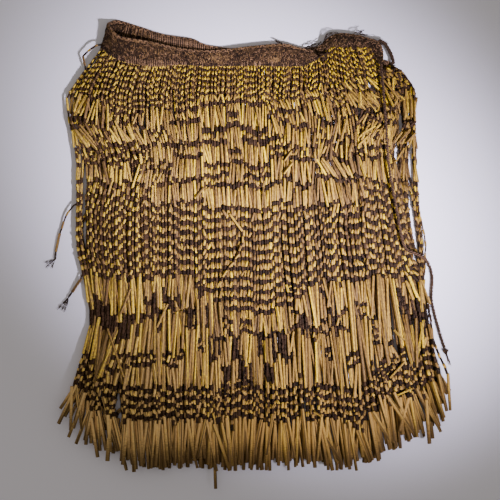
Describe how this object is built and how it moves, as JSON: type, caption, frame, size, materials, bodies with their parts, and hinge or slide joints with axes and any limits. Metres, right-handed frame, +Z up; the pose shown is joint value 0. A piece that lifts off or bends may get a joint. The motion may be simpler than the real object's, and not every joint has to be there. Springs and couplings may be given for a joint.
{
  "type": "grass skirt (piupiu), laid flat",
  "caption": "Wrap-round skirt of rolled flax strands on a felted waistband, laid flat and doubled, with a long knotted tie at its front end.",
  "frame": {"origin": "middle of the outline's box, on the surface the garment lies on, with the free tie and its knot left out", "axes": "+X to the garment's right end as it is looked down on, +Y from the hem to the waistband, +Z up from the surface"},
  "size_m": [0.5442, 0.633, 0.0255],
  "materials": {
    "felted_band": "brown felted flax fibre, matt and fuzzy",
    "rolled_flax": "straw-gold rolled leaf with dark scraped stretches, soft sheen",
    "dyed_fibre": "dark brown plaited fibre, matt"
  },
  "bodies": {
    "root": {"waistband": "felted_band", "fringe_front_outer": "rolled_flax", "fringe_front_inner": "rolled_flax", "fringe_back_inner": "rolled_flax", "fringe_back_outer": "rolled_flax", "tie_cord": "dyed_fibre", "tie_knot": "dyed_fibre", "tie_tail": "dyed_fibre", "tie_stub": "dyed_fibre"}
  },
  "joints": []
}
